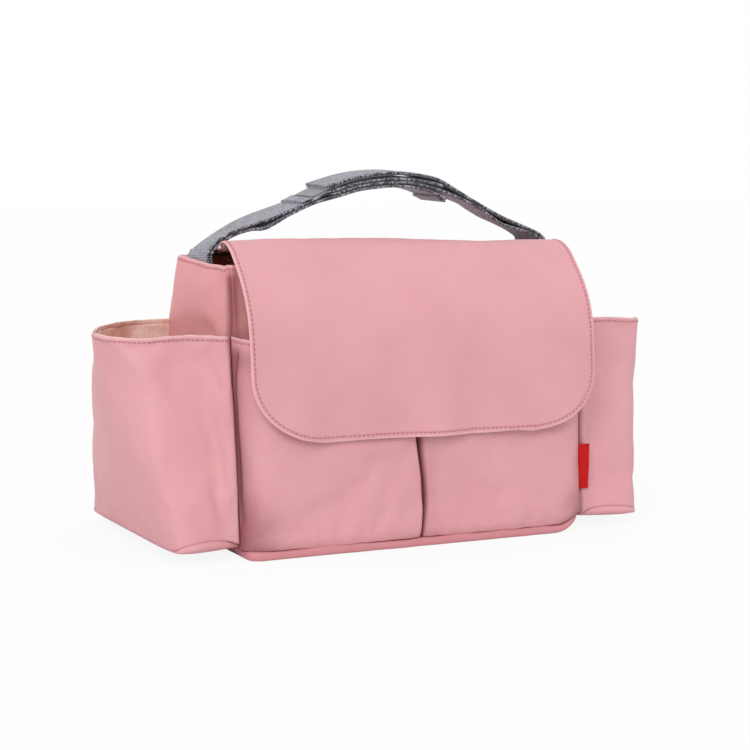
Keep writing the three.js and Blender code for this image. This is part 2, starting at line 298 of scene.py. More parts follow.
def at(grid, row, column):
    """A grid's points at fractional rows and columns."""
    row, column = np.broadcast_arrays(np.asarray(row, float), np.asarray(column, float))
    j = np.clip(row.astype(int), 0, grid.shape[0] - 2)
    i = np.clip(column.astype(int), 0, grid.shape[1] - 2)
    f, g = (row - j)[..., None], (column - i)[..., None]
    low = lerp(grid[j, i], grid[j, i + 1], g)
    high = lerp(grid[j + 1, i], grid[j + 1, i + 1], g)
    return lerp(low, high, f)


def stitches(name, grid, rows, columns, material):
    """A row of thread stitches that follows a line over a grid."""
    line = at(grid, rows, columns)
    out = at(grid_normals(grid), rows, columns)
    run = run_lengths(line, 0)
    rings, sides = len(STITCH_RADII), STITCH_SIDES
    stations = np.linspace(0, 1, rings)
    turns = np.linspace(0, 2 * math.pi, sides, endpoint=False)
    points = []
    faces = []
    for start in np.arange(STITCH_PITCH / 2, run[-1] - STITCH_LENGTH, STITCH_PITCH):
        lengths = start + stations * STITCH_LENGTH
        centre = resample(line, run, lengths)
        normal = resample(out, run, lengths)
        side = unit(np.cross(centre[-1] - centre[0], normal))
        centre += normal * (0.28 * np.sin(stations * math.pi) - 0.1)[:, None]
        base = len(points)
        for k, radius in enumerate(STITCH_RADII):
            for turn in turns:
                ring = math.cos(turn) * side[k] + math.sin(turn) * normal[k]
                points.append((centre[k] + radius * ring) * MM)
        for k in range(rings - 1):
            for m in range(sides):
                a, b = base + sides * k + m, base + sides * k + (m + 1) % sides
                faces.append((a, a + sides, b + sides, b))
        faces.append([base + m for m in range(sides)])
        faces.append([base + sides * (rings - 1) + m for m in reversed(range(sides))])
    mesh = bpy.data.meshes.new(name)
    mesh.from_pydata(points, [], faces)
    mesh.polygons.foreach_set("use_smooth", np.ones(len(mesh.polygons), bool))
    obj = bpy.data.objects.new(name, mesh)
    SCENE.collection.objects.link(obj)
    return dress(obj, material)


# ---------- materials
class Graph:
    """Short calls that build a material's nodes."""

    def __init__(self, name):
        self.material = bpy.data.materials.new(name)
        self.material.use_nodes = True
        self.tree = self.material.node_tree
        self.shader = self.tree.nodes["Principled BSDF"]

    def add(self, kind, inputs=(), **settings):
        made = self.tree.nodes.new("ShaderNode" + kind)
        for key, value in settings.items():
            setattr(made, key, value)
        for key, value in inputs:
            self.put(made.inputs[key], value)
        return made

    def put(self, socket, value):
        if isinstance(value, bpy.types.NodeSocket):
            self.tree.links.new(value, socket)
        else:
            socket.default_value = value

    def calc(self, operation, a, b=0.0, c=0.0):
        inputs = [(0, a), (1, b), (2, c)]
        return self.add("Math", inputs, operation=operation).outputs[0]

    def total(self, start, *terms):
        """The start value with each term's value times its weight added to it."""
        for value, weight in terms:
            start = self.calc("MULTIPLY_ADD", value, weight, start)
        return start

    def wave(self, distance, pitch):
        return self.calc("SINE", self.calc("MULTIPLY", distance, 2 * math.pi / pitch))

    def ramp(self, distance, width):
        """1 at no distance, falling to 0 at the width."""
        share = self.calc("SUBTRACT", 1.0, self.calc("DIVIDE", distance, width))
        return self.calc("MAXIMUM", share, 0.0)

    def centred(self, value):
        return self.calc("SUBTRACT", value, 0.5)

    def value_of(self, name):
        return self.add("Attribute", attribute_name=name).outputs["Fac"]

    def groove(self, width):
        """The dent that the stitch line makes, one hem in from the edge."""
        off_line = self.calc("ABSOLUTE", self.calc("SUBTRACT", self.value_of("hem"), HEM))
        return self.ramp(off_line, width)

    def cells(self, vector, per_mm, channel):
        """Random flat cells."""
        color = self.add("TexVoronoi", [("Vector", vector), ("Scale", per_mm)]).outputs["Color"]
        return self.add("SeparateColor", [(0, color)]).outputs[channel]

    def blend(self, factor, a, b):
        mixed = self.add("Mix", data_type="RGBA", clamp_factor=True)
        self.put(mixed.inputs["Factor"], factor)
        self.put(mixed.inputs[6], a)
        self.put(mixed.inputs[7], b)
        return mixed.outputs[2]

    def speckle(self, vector, size, detail=2.0, rough=0.5):
        """Noise from 0 to 1 over a vector in mm."""
        inputs = [("Vector", vector), ("Scale", 1 / size), ("Detail", detail), ("Roughness", rough)]
        return self.add("TexNoise", inputs).outputs["Fac"]

    def scaled(self, vector, scale):
        return self.add("VectorMath", [(0, vector), (1, scale)], operation="MULTIPLY").outputs[0]

    def cloth_mm(self):
        """The cloth's own coordinates in mm: the vector, then across and along."""
        uv = self.add("UVMap", uv_map="UVMap").outputs["UV"]
        vector = self.scaled(uv, (1000, 1000, 1000))
        parts = self.add("SeparateXYZ", [(0, vector)])
        return vector, parts.outputs[0], parts.outputs[1]

    def place_mm(self):
        return self.scaled(self.add("TexCoord").outputs["Object"], (1000, 1000, 1000))

    def finish(self, color, roughness, height_mm, **fixed):
        bump = self.add("Bump", [("Height", height_mm), ("Distance", MM), ("Strength", 1.0)])
        surface = {"Base Color": color, "Roughness": roughness, "Normal": bump.outputs[0]}
        for key, value in surface.items():
            self.put(self.shader.inputs[key], value)
        for key, value in fixed.items():
            self.shader.inputs[key.replace("_", " ")].default_value = value
        return self.material


def srgb(r, g, b):
    """A colour given as 0-255 values, in linear light."""
    return tuple((c / 255) ** 2.2 for c in (r, g, b)) + (1.0,)


RIB_PITCH = 1.45
RIB_ANGLE = -0.75  # radians from the cloth's length


def twill(name, light, dark, edge):
    """Nylon twill: fine diagonal ribs, threads, soft creases and a turned, stitched hem, with
    painted shade in the stitch groove and in folds and crevices, and a painted highlight along the
    cut edge in the edge colour.
    """
    g = Graph(name)
    vector, u, v = g.cloth_mm()
    across = g.calc("MULTIPLY", u, math.cos(RIB_ANGLE))
    diagonal = g.calc("SUBTRACT", across, g.calc("MULTIPLY", v, math.sin(RIB_ANGLE)))
    wobble = g.calc("MULTIPLY", g.speckle(vector, 14.0), 0.9)
    ribs = g.wave(g.calc("ADD", diagonal, wobble), RIB_PITCH)
    threads = g.calc("MULTIPLY", g.wave(u, 0.52), g.wave(v, 0.52))
    hem = g.value_of("hem")
    groove = g.groove(1.1)
    folded = g.calc("LESS_THAN", hem, HEM)
    rim = g.calc("LESS_THAN", hem, 1.15)
    pucker = g.calc("MULTIPLY", g.ramp(hem, 9.0), g.speckle(vector, 4.5, 1.0))
    broad = g.speckle(vector, 55.0, 2.0, 0.55)
    fine = g.speckle(vector, 11.0, 3.0, 0.6)
    # painted shade: the stitch groove also pushes the colour towards the dark colour
    shade = g.total(broad, (ribs, 0.2), (threads, 0.05), (g.centred(fine), 0.1), (groove, 0.35))
    color = g.blend(shade, light, dark)
    # painted highlight: the last mm at a cut edge is mixed towards the lighter edge colour
    color = g.blend(g.calc("MULTIPLY", rim, 0.35), color, edge)
    # painted shade: the colour is darkened towards deep red-brown by the per-point painted-shade
    # value
    color = g.blend(g.value_of("tucked"), color, srgb(120, 52, 58))
    height = g.total(0.0, (ribs, 0.024), (fine, 0.06), (broad, 1.5), (pucker, 0.7))
    height = g.total(height, (groove, -0.35), (folded, 0.12))
    roughness = g.total(0.44, (fine, 0.16))
    fixed = {"Sheen_Weight": 0.05, "Sheen_Roughness": 0.4, "Specular_IOR_Level": 0.35}
    return g.finish(color, roughness, height, **fixed)


def satin(name, light, dark):
    """Thin satin lining with small soft creases, and painted shade in them: its colour darkens
    with the same creases and swells that bend it.
    """
    g = Graph(name)
    vector, _, v = g.cloth_mm()
    drawn = g.scaled(vector, (1, 0.3, 1))
    creases = g.speckle(drawn, 9.0, 3.0, 0.6)
    broad = g.speckle(drawn, 26.0)
    # painted shade: the colour runs from the light to the dark colour with the creases and swells of
    # the bump
    color = g.blend(g.total(broad, (g.centred(creases), 0.9)), light, dark)
    threads = g.wave(v, 0.6)
    height = g.total(0.0, (creases, 2.2), (threads, 0.01), (broad, 2.0), (g.groove(1.0), -0.3))
    fixed = {"Sheen_Weight": 0.15, "Specular_IOR_Level": 0.45, "Anisotropic": 0.3}
    return g.finish(color, g.total(0.24, (creases, 0.15)), height, **fixed)


def webbing(name):
    """Grey nylon webbing: cross ribs, a herringbone of threads and speckled selvedges."""
    g = Graph(name)
    vector, u, v = g.cloth_mm()
    to_edge = g.calc("SUBTRACT", STRAP_WIDTH / 2, g.calc("ABSOLUTE", v))
    selvedge = g.calc("LESS_THAN", to_edge, 1.3)
    ribs = g.wave(u, 1.7)
    lines = g.wave(v, 1.9)
    fine = g.wave(g.calc("ADD", u, v), 1.5)
    fleck = g.calc("GREATER_THAN", g.cells(vector, 1.5, 0), 0.6)
    wear = g.speckle(vector, 22.0, 3.0, 0.6)
    weave = g.cells(vector, 0.75, 1)
    shade = g.total(0.5, (ribs, 0.3), (fine, 0.26), (lines, 0.2))
    shade = g.total(shade, (g.centred(wear), 0.5), (g.centred(weave), 0.8))
    middle = g.blend(shade, srgb(166, 166, 177), srgb(86, 87, 98))
    edge = g.blend(fleck, srgb(56, 57, 63), srgb(158, 158, 168))
    color = g.blend(selvedge, middle, edge)
    height = g.total(0.0, (ribs, 0.1), (fine, 0.05), (lines, 0.04), (wear, 0.3))
    roughness = g.total(0.5, (wear, 0.2))
    return g.finish(color, roughness, height, Sheen_Weight=0.2, Specular_IOR_Level=0.4)


def thread(name, light, dark):
    """Twisted sewing thread."""
    g = Graph(name)
    speck = g.speckle(g.place_mm(), 0.8)
    return g.finish(g.blend(speck, light, dark), 0.55, g.total(0.0, (speck, 0.1)), Sheen_Weight=0.2)


def pile(name, light, dark, size):
    """Hook or loop tape: a dense fuzz of tiny threads."""
    g = Graph(name)
    vector = g.place_mm()
    fuzz = g.speckle(vector, size, 4.0, 0.7)
    tufts = g.add("TexVoronoi", [("Vector", vector), ("Scale", 0.5 / size)]).outputs["Distance"]
    height = g.total(0.0, (fuzz, 0.6), (tufts, -0.4))
    return g.finish(g.blend(fuzz, light, dark), 0.85, height, Sheen_Weight=0.6)


def ribbon(name, light, dark):
    """Woven label ribbon with fine cross ribs."""
    g = Graph(name)
    vector, u, v = g.cloth_mm()
    ribs = g.wave(v, 0.8)
    broad = g.speckle(vector, 8.0)
    color = g.blend(g.total(broad, (ribs, 0.15)), light, dark)
    height = g.total(0.0, (ribs, 0.04), (g.wave(u, 0.5), 0.015))
    return g.finish(color, g.total(0.55, (broad, 0.15)), height, Specular_IOR_Level=0.25)


def moulded(name, light, dark):
    """Stiff plastic sheet with a fine grain."""
    g = Graph(name)
    vector = g.place_mm()
    grain = g.speckle(vector, 1.5, 4.0, 0.6)
    color = g.blend(g.speckle(vector, 40.0), light, dark)
    return g.finish(color, g.total(0.4, (grain, 0.2)), g.total(0.0, (grain, 0.15)))


# The third colour of each twill is its painted highlight along cut edges.
PINK = twill("pink_twill", srgb(217, 158, 164), srgb(203, 143, 149), srgb(236, 190, 194))
# a lighter, redder copy of the pink twill: painted light, lifting the body panels
PINK_LIGHTENED_PANEL = twill(
    "pink_lightened_panel_twill", srgb(230, 160, 163), srgb(216, 146, 149), srgb(238, 188, 191)
)
# a darker copy of the pink twill: painted shade on the bottom strip
PINK_SHADED_BASE = twill("pink_shaded_base_twill", srgb(204, 138, 143), srgb(190, 124, 130), srgb(220, 166, 170))
# The second colour of each satin is painted shade, laid into its creases.
PEACH = satin("peach_satin", srgb(238, 190, 166), srgb(222, 158, 134))
LINER = satin("liner_satin", srgb(252, 176, 142), srgb(234, 140, 108))
CREAM = satin("cream_satin", srgb(250, 232, 218), srgb(212, 150, 130))
GREY = webbing("grey_webbing")
THREAD = thread("pink_thread", srgb(200, 120, 130), srgb(160, 84, 94))
GREY_THREAD = thread("grey_thread", srgb(112, 112, 120), srgb(70, 70, 78))
HOOKS = pile("hook_tape", srgb(196, 140, 146), srgb(160, 104, 112), 0.9)
LOOPS = pile("loop_tape", srgb(206, 150, 156), srgb(170, 112, 120), 1.6)
GREY_LOOPS = pile("grip_loops", srgb(128, 118, 124), srgb(92, 82, 90), 0.8)
GREY_PILE = pile("grip_tape", srgb(96, 97, 104), srgb(60, 61, 68), 1.2)
RED = ribbon("red_ribbon", srgb(206, 8, 6), srgb(168, 2, 2))
BOARD = moulded("board_plastic", srgb(214, 214, 208), srgb(196, 196, 190))


# ---------- body
def front_y(z):
    return lerp(FRONT_FOOT_Y, FRONT_RIM_Y, z / RIM_Z)


def back_y(z):
    return lerp(BACK_FOOT_Y, BACK_RIM_Y, np.maximum(z / RIM_Z, 0) ** BACK_BELLY)


CORNER_STEPS = 5


def body_ring(z, inset, corner, front_steps=56, side_steps=26):
    """The body's outline at a height, from the middle of the back round by the left side.

    Also the share of the way along its side for each point, and which side it is on."""
    x = HALF - inset
    near, far = front_y(z) + inset, back_y(z) - inset
    r = corner
    turns = np.linspace(0, math.pi / 2, CORNER_STEPS + 2)[1:-1]
    points, share, side = [], [], []

    def straight(a, b, steps, name):
        for t in np.linspace(0, 1, steps):
            points.append((lerp(a[0], b[0], t), lerp(a[1], b[1], t)))
            share.append(t)
            side.append(name)

    def turn(cx, cy, start, name):
        for angle in turns + start:
            points.append((cx + r * math.cos(angle), cy + r * math.sin(angle)))
            share.append(0)
            side.append(name)

    half_back = front_steps // 2
    straight((0, far), (-x + r, far), half_back, "back_left")
    turn(-x + r, far - r, math.pi / 2, "seam")
    straight((-x, far - r), (-x, near + r), side_steps, "left")
    turn(-x + r, near + r, math.pi, "seam")
    straight((-x + r, near), (x - r, near), front_steps, "front")
    turn(x - r, near + r, -math.pi / 2, "seam")
    straight((x, near + r), (x, far - r), side_steps, "right")
    turn(x - r, far - r, 0, "seam")
    straight((x - r, far), (0, far), half_back, "back_right")
    return level(np.array(points), z), np.array(share), np.array(side)


SEAM_GROOVE = np.array([0, 0, 0.9, 0, 0])  # how far a corner seam draws its columns in
VALLEY = np.array([0.4, 1.5, 2.2, 1.5, 0.4])  # the same at the front seams above the pockets
FRONT_SEAMS = (1, 2)


def rim_sag(points, side, share, z):
    """How far a level hangs below its nominal height, which it does more towards the rim."""
    sag = 0.7 * wander(points, 30, 5) + 0.3 * wander(points, 8, 6) + 0.4
    forward = np.select([side == "left", side == "right"], [share, 1 - share], 0)
    return (sag + 1.6 * ease(forward)) * ease((z - 120) / 70)


def side_fold(side, share):
    """How far an end panel stands out in folds, above the pocket, at shares of its side."""
    to_front = np.where(side == "left", 1 - share, share)  # 0 at the front seam
    fold = -1.2 * hump(to_front, 0.1, 0.07) + 2.0 * hump(to_front, 0.31, 0.11)
    return fold + hump(to_front, 0.62, 0.2)


def body_shell():
    heights = np.concatenate([np.linspace(2.2, 172, 42), np.linspace(175, RIM_Z - 5, 4)])
    heights = np.concatenate([heights, RIM_Z - np.array([3.8, 3.0, 2.2, 1.0, 0.0])])
    rows = []
    for z in heights:
        ring, share, side = body_ring(z, 0, lerp(10, 4, ease(z / 60)))
        above = ease((z - POCKET_RIM_Z) / 12)
        rim_hold = 1 - 0.6 * ease((z - 178) / 12)
        outwards = (side == "right") * 1 - (side == "left") * 1
        ring[:, 0] += outwards * side_fold(side, share) * above * rim_hold
        at_back = np.char.startswith(side, "back")
        ring[:, 1] += at_back * BACK_BULGE * math.sin(math.pi * z / RIM_Z)
        centre = np.array([0, (front_y(z) + back_y(z)) / 2, z])
        for corner, columns in enumerate(np.flatnonzero(side == "seam").reshape(4, -1)):
            toward = unit(centre - ring[columns])
            deep = above if corner in FRONT_SEAMS else 0
            ring[columns] += lerp(SEAM_GROOVE, deep * VALLEY, deep)[:, None] * toward
        ring[:, 2] -= rim_sag(ring, side, share, z)
        rows.append(ring)
    grid = np.array(rows)
    seam = np.tile(side == "seam", (len(heights), 1))
    low = (heights < 20)[:, None]
    rim = ease((heights - (RIM_Z - 8)) / 8)[:, None]
    held = np.clip((seam | low) + 0.5 * rim, 0, 1)
    grid = corner_lift(soften(grid, held, 0.006, outward=1.6, inward=1.8))
    hem = (RIM_Z - heights)[:, None]
    run = run_lengths(grid, 1)
    centres = np.flatnonzero(side == "seam").reshape(4, -1)[:, CORNER_STEPS // 2]
    # painted shade along the two front corner seams, fading out at the rim: the seam valley's shade
    # painted into the colour
    tucked = np.zeros(run.shape)
    for corner, column in enumerate(centres):
        from_seam = np.abs(run - run[:, column : column + 1])
        hem = np.minimum(hem, HEM + from_seam)
        if corner in FRONT_SEAMS:
            tucked += 0.85 * hump(from_seam, 0, 4) * ease((RIM_Z - 1 - heights) / 9)[:, None]
    panels = ("front_panel", "back_panel", "left_side_panel", "right_side_panel")
    # painted light: the shell wears the lighter copy of the pink twill
    shell = cloth_piece("body_shell", grid, PANEL, PINK_LIGHTENED_PANEL, panels,
                        hem=hem, tucked=tucked, closed=True)
    columns = np.linspace(0, grid.shape[1] - 1, 600)
    line = stitches("body_rim_stitching", grid, index_of(RIM_Z - HEM, heights), columns, THREAD)
    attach(line, "bag")


CLOSED = 0.9995  # how far towards its middle the first row of a closed floor reaches
TRAY_EDGE = [  # height and inset of the bottom panel's rows, from its underside to its top
    (0.0, 9), (0.0, 1.6), (0.5, 0.5), (1.8, 0.0), (3.6, 0.1), (5.2, 0.6), (6.0, 1.6), (6.0, 6),
]


def bottom_tray():
    """The bottom panel: its front edge turns up to the seam of the front pockets."""
    outline = []
    front, back = FRONT_SEAM_Y - 1.6, BACK_FOOT_Y - 0.6
    x = HALF - 1.6
    for cx, cy, r, start in [
        (-x, front, 8, math.pi),
        (x, front, 20, 1.5 * math.pi),
        (x, back, 13, 0),
        (-x, back, 13, 0.5 * math.pi),
    ]:
        centre = np.array([cx - math.copysign(r, cx), cy - math.copysign(r, cy)])
        for angle in np.linspace(start, start + math.pi / 2, 9):
            outline.append(centre + r * np.array([math.cos(angle), math.sin(angle)]))
    outline = np.array(outline + outline[:1])
    run = run_lengths(outline, 0)
    plan = resample(outline, run, np.linspace(0, run[-1], 241))
    ahead = np.roll(plan, -2, axis=0) - np.roll(plan, 2, axis=0)
    inside = unit(np.stack([-ahead[:, 1], ahead[:, 0]], -1))
    inside[-1] = inside[0]
    middle = np.array([0, (front + back) / 2])
    rows = [level(lerp(plan, middle, inward), 0.0) for inward in (CLOSED, 0.5)]
    for z, inset in TRAY_EDGE:
        flat = plan + inside * inset
        flat = flat + inside * (0.6 * wander(level(flat, 0.0), 16, 71))[:, None]
        height = z * lerp(1.0, 0.5, ease((flat[:, 1] - front - 10) / 30))
        height = height * (1 + 0.22 * wander(level(plan, 0.0), 21, 72))
        rows.append(level(flat, height))
    grid = corner_lift(np.array(rows))
    # painted shade: the tray wears the darker copy of the pink twill
    tray = cloth_piece("bottom_tray", grid, 1.0, PINK_SHADED_BASE, ["bottom_panel"], closed=True)
    size = np.ptp(grid.reshape(-1, 3), axis=0)
    declare_sheet(grid, flat=(size[0] + 16, size[1] + 16))


def main_lining():
    floor = 7.0
    heights = np.concatenate([np.linspace(floor + 4, 176, 30), np.linspace(180, RIM_Z - 1.2, 5)])
    rows = []
    ring, share, side = body_ring(floor, PANEL + 1.2, 10)
    middle = np.array([0, (front_y(floor) + back_y(floor)) / 2, floor])
    for inward in (CLOSED, 0.6, 0.25, 0.05):
        rows.append(lerp(ring, middle, inward))
    for z in heights:
        inset = PANEL + 1.0 + 4.2 * ease((z - 12) / 40) * (1 - ease((z - 150) / 38))
        inset += 3.2 * hump(z, 179, 9)
        ring, share, side = body_ring(z, inset, 6)
        waves = 0.8 * wander(ring, 20, 9) * ease((z - floor) / 20)
        toward = unit(middle * [1, 1, 0] - ring * [1, 1, 0])
        ring = ring + toward * (waves * (1 - ease((z - 176) / 10)) + 0.3)[:, None]
        ring[:, 2] -= rim_sag(ring, side, share, z)
        rows.append(ring)
    grid = np.array(rows)
    hem = np.concatenate([np.full(4, NO_HEM), RIM_Z - heights])[:, None]
    lining = cloth_piece("main_lining_cloth", grid, LINING, LINER, ["main_lining"], "satin",
                         hem=hem, closed=True)
    declare_sheet(grid)


# ---------- bottle pockets on the ends
SEAM_X = HALF - 0.2
RIM_PLAN = [
    (SEAM_X, -50), (150, -43), (172, -38), (194, -33), (207, -20), (206, 2), (188, 37), (160, 58),
    (SEAM_X, 61.5),
]
BASE_PLAN = [
    (SEAM_X, -68), (150, -73.5), (168, -75.5), (177.5, -65), (180.5, 5), (181.5, 76), (170, 86.5),
    (150, 86), (SEAM_X, 77),
]
PLAN_SHARES = ((0, 0.36, 0.55, 1), (0, 0.19, 0.8, 1))  # of the rim, and of the base below them
SEAM_FOLD = 6.5  # how far the wall folds forwards beside its front seam
FOLD_SHARE = 0.02  # share of the wall from the seam to the fold's crest
FOLD_COLUMNS = 11
TUCK_SHARE = 0.19  # share of the base's outline that the tucked front corner takes
TUCK_RISE = 5.5
FLOOR_EDGE = [  # the floor's rolled edge at that corner: share of its rise, and how far out
    (-0.1, -1.6), (0.0, 0.2), (0.25, 1.6), (0.55, 2.0), (0.85, 0.9), (1.05, -1.2), (1.15, -2.6),
]


def tuck_height(base_shares):
    """How far the tuck at the front corner lifts the wall's lower edge."""
    return TUCK_RISE * np.sin(math.pi * np.clip(base_shares / TUCK_SHARE, 0, 1)) ** 0.6


def bottle_pocket_grid(rises, outset):
    """A skin of the right-hand pocket, outset from its plan, and each column's share.

    Rises go from 0 at the pocket's foot to 1 at its rim."""
    shares = np.concatenate([np.linspace(0, 0.09, FOLD_COLUMNS + 1)[:-1], np.linspace(0.09, 1, 58)])
    rim = spline(RIM_PLAN, shares)
    base_shares = np.interp(shares, *PLAN_SHARES)
    base = spline(BASE_PLAN, base_shares)
    foot = POCKET_FOOT_Z + 1.2 + tuck_height(base_shares)
    grid = []
    for rise in rises:
        plan = lerp(base, rim, rise)
        for _ in range(int(10 * math.sin(math.pi * min(1, rise * 1.02)) ** 0.7)):
            bend = plan[:-2] + plan[2:] - 2 * plan[1:-1]
            plan[FOLD_COLUMNS + 1 : -1] += bend[FOLD_COLUMNS:] / 4
        grid.append(level(plan, lerp(foot, POCKET_RIM_Z, rise)))
    grid = lift(np.array(grid), outset)
    ahead = shares / FOLD_SHARE * np.exp(1 - shares / FOLD_SHARE)
    up = np.asarray(rises)[:, None]
    fold = SEAM_FOLD * ahead * lerp(0.5, 1, ease(up / 0.4))
    grid[..., 1] -= fold * lerp(1, 0.55, ease((up - 0.6) / 0.4))
    grid[..., 0] = np.maximum(grid[..., 0], SEAM_X)
    return grid, shares


def mirrored(grid):
    return (grid * [-1, 1, 1])[:, ::-1]


def bottle_rim_sag(side, shares):
    """How far the rim hangs below its nominal height: the right-hand pocket slouches."""
    if side == "left":
        return 0.8 * hump(shares, 0.3, 0.12)
    waves = -1.6 * hump(shares, 0.12, 0.1) + 1.8 * hump(shares, 0.33, 0.07)
    return waves + 10.5 * ease((shares - 0.35) / 0.16)


def bottle_pocket(side):
    seed = 11 if side == "left" else 17
    height = POCKET_RIM_Z - POCKET_FOOT_Z
    drops = np.array([5, 3.8, 3.0, 2.2, 1.0, 0])
    rises = np.concatenate([np.linspace(0, 1 - 7 / height, 30), 1 - drops / height])
    grid, shares = bottle_pocket_grid(rises, 0.2)
    up = rises[:, None]
    edges = np.minimum(shares, 1 - shares)[None, :]
    free = ease(edges / 0.08)
    crumple = 1.3 * wander(grid, 48, seed) + 0.4 * wander(grid, 21, seed + 1)
    crumple += 2.6 * hump(shares, 0.5, 0.22)[None, :] * np.sin(math.pi * up)
    crease = 1.2 * hump(shares, 0.05, 0.02) - 1.6 * hump(shares, 0.1, 0.03)
    grid = lift(grid, free * crumple * (1 - 0.5 * up**6) + crease[None, :] * hump(up, 0.45, 0.3))
    grid[..., 2] -= bottle_rim_sag(side, shares) * up**3
    grid[..., 2] -= 0.9 * free * wander(grid * [1, 1, 0], 26, seed + 2) * up**8
    held = np.clip(((edges < 0.02) | (up < 0.05)) + 0.35 * up**30, 0, 1)
    if side == "left":
        grid, held = mirrored(grid), held[:, ::-1]
    grid = soften(grid, held, 0.008, outward=1.6, inward=1.6)
    below = (height * (1 - rises))[:, None]
    wall = cloth_piece(f"{side}_pocket_cloth", grid, CLOTH, PINK, [f"{side}_pocket_wall"],
                       hem=below)
    row = index_of(1 - HEM / height, rises)
    columns = np.linspace(0, grid.shape[1] - 1, 300)
    line = stitches(f"{side}_pocket_stitching", grid, row, columns, THREAD)
    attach(line, "bag")
    declare_sheet(grid)
    bottle_pocket_lining(side, grid, below)
    bottle_pocket_base(side)


def bottle_pocket_lining(side, wall, below):
    """The lining follows the wall inside, puckers under the rim and hangs loose below.

    below is how far under the rim each row of the wall is."""
    gap = CLOTH + 0.25 + 2.2 * ease(below / 30) * ease((125 - below) / 30)
    pucker = 0.9 * wander(wall, 6.5, 23) * hump(below, 9, 7)
    pucker = pucker + 1.2 * wander(wall, 19, 24) * ease(below / 20)
    grid = lift(wall, -gap + np.minimum(pucker, gap - CLOTH - 0.2))
    limit = SEAM_X + 0.2
    grid[..., 0] = np.sign(wall[..., 0]) * np.maximum(np.abs(grid[..., 0]), limit)
    grid[-1, :, 2] += 0.5
    name = f"{side}_pocket_lining"
    lining = cloth_piece(f"{name}_cloth", grid, LINING, CREAM, [name], "satin", hem=below)
    declare_sheet(grid)


def bottle_pocket_base(side):
    """The pocket's floor, whose front edge rolls out below the tuck at the wall's corner."""
    shares = np.linspace(0, 1, 121)
    plan = spline(BASE_PLAN, shares)
    ahead = np.gradient(plan, axis=0)
    outside = unit(np.stack([ahead[:, 1], -ahead[:, 0]], -1))
    middle = np.array([SEAM_X, 5])
    tuck = tuck_height(shares)
    rolled = tuck / TUCK_RISE
    rows = []
    for inward in (CLOSED, 0.7, 0.4, 0.12):
        rows.append(level(lerp(plan, middle, inward), POCKET_FOOT_Z + 0.6))
    for share, bulge in FLOOR_EDGE:
        flat = plan + outside * (bulge * rolled - 0.6 * (1 - rolled) + 0.2 * rolled)[:, None]
        rows.append(level(flat, POCKET_FOOT_Z + 0.4 + (tuck + 1.0) * share))
    grid = np.array(rows)
    grid[..., 0] = np.maximum(grid[..., 0], SEAM_X)
    if side == "left":
        grid = mirrored(grid)
    base = cloth_piece(f"{side}_pocket_floor", grid, 0.9, PINK, [f"{side}_pocket_base"])
    size = np.ptp(grid.reshape(-1, 3), axis=0)
    flat = (size[0] + 8, size[1] + 16)
    declare_sheet(grid, flat=flat)


# ---------- pleated pockets on the front
PLEAT_HEIGHTS = (4, 9, 26, 32, 47, 75, 110, 144)
PLEAT_EDGES = {  # X of the two lips at those heights
    "left": (-1.9, -1.8, -0.9, -1.7, -2.3, -6.4, -5, -3),
    "right": (-0.8, -0.5, 1.8, 2.0, 0.9, -2.8, -2, 0.5),
}
FRONT_CORNER = ((5, 28, 80, 120, 138, 144), (17, 18, 25, 20, 11, 9))  # plan radius over height
LIP_TURN = 3.6  # radius of a lip's turn into the pleat
GUSSET_FOLD = 9  # how far the side gusset folds in below its hem
GUSSET_STEPS = 12


def corner_lift(grid):
    """Raises the bag's front right corner, where the bottom seam curves up round it."""
    across = ease((grid[..., 0] - 100) / 28)
    near = ease((-52 - grid[..., 1]) / 22)
    low = np.clip(1 - grid[..., 2] / 34, 0, 1)
    lifted = grid.copy()
    lifted[..., 2] += 8.5 * across**1.6 * near * low
    return lifted


def face_y(z):
    """The front pockets' outer face."""
    y = lerp(POCKET_FACE_Y["foot"], POCKET_FACE_Y["rim"], z / POCKET_RIM_Z)
    tuck = np.clip(1 - (z - FRONT_SEAM_Z) / 7, 0, 1)
    return y + (FRONT_SEAM_Y - POCKET_FACE_Y["foot"] + 0.6) * tuck**2


def front_pocket_row(side, z):
    """One level of a front pocket, from its pleat round the face to the side seam."""
    sign = -1 if side == "left" else 1
    lip = sign * np.interp(z, PLEAT_HEIGHTS, PLEAT_EDGES[side])
    outer = HALF - 1.1
    face, wall = face_y(z), front_y(z) - 0.5
    depth = wall - face
    rx = np.interp(z, *FRONT_CORNER)
    ry = min(rx, depth * 0.85)
    points = [(lip - 0.6, face + depth * 0.5), (lip - 0.1, face + depth * 0.28)]
    for angle in np.linspace(0, math.pi / 2, 5):
        turn = 1 - np.array([math.cos(angle), math.sin(angle)])
        points.append((lip, face) + LIP_TURN * turn)
    across = np.linspace(0, 1, 44)[1:-1]
    crown = 1.1 * np.sin(math.pi * across) * (1 - z / POCKET_RIM_Z * 0.5)
    for t, out in zip(across, crown):
        points.append((lerp(lip + LIP_TURN, outer - rx, t), face - out))
    for angle in np.linspace(0, math.pi / 2, 8):
        points.append((outer - rx + rx * math.sin(angle), face + ry * (1 - math.cos(angle))))
    fold = GUSSET_FOLD * ease((POCKET_RIM_Z - 4 - z) / 22) * ease((z - 14) / 40)
    for t in np.linspace(0, 1, GUSSET_STEPS)[1:]:
        inwards = fold * math.sin(math.pi * t) ** 1.2
        points.append((lerp(outer, HALF - 0.2, t) - inwards, lerp(face + ry, wall, t)))
    return level(np.array(points) * [sign, 1], z)


